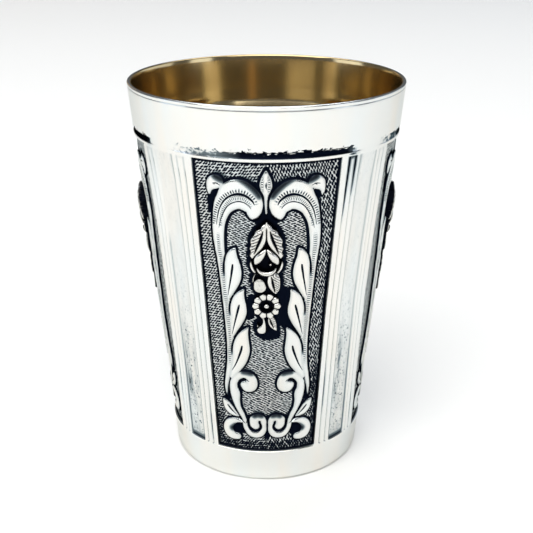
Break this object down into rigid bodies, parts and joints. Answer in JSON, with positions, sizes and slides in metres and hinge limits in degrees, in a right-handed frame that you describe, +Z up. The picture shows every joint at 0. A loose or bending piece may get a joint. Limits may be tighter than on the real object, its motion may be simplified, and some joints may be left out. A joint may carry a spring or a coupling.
{
  "type": "kiddush cup",
  "caption": "Tapered silver beaker for wine, gilt inside, with recessed panels of chased scrolls and leaves, beaded strips between them and a cast flower sprig on each panel.",
  "frame": {"origin": "centre of the underside, on the surface that the cup stands on", "axes": "+Z up along the axis of the cup, -Y out of the front panel, +X to its right"},
  "size_m": [0.062, 0.062, 0.0908],
  "materials": {
    "silver": "polished sheet silver, oxidised black in the chasing, gilt inside",
    "cast_silver": "cast silver, oxidised and relieved on its high points"
  },
  "bodies": {
    "root": {"cup_body": "silver", "flower_sprig_front": "cast_silver", "flower_sprig_right": "cast_silver", "flower_sprig_back": "cast_silver", "flower_sprig_left": "cast_silver"}
  },
  "joints": []
}
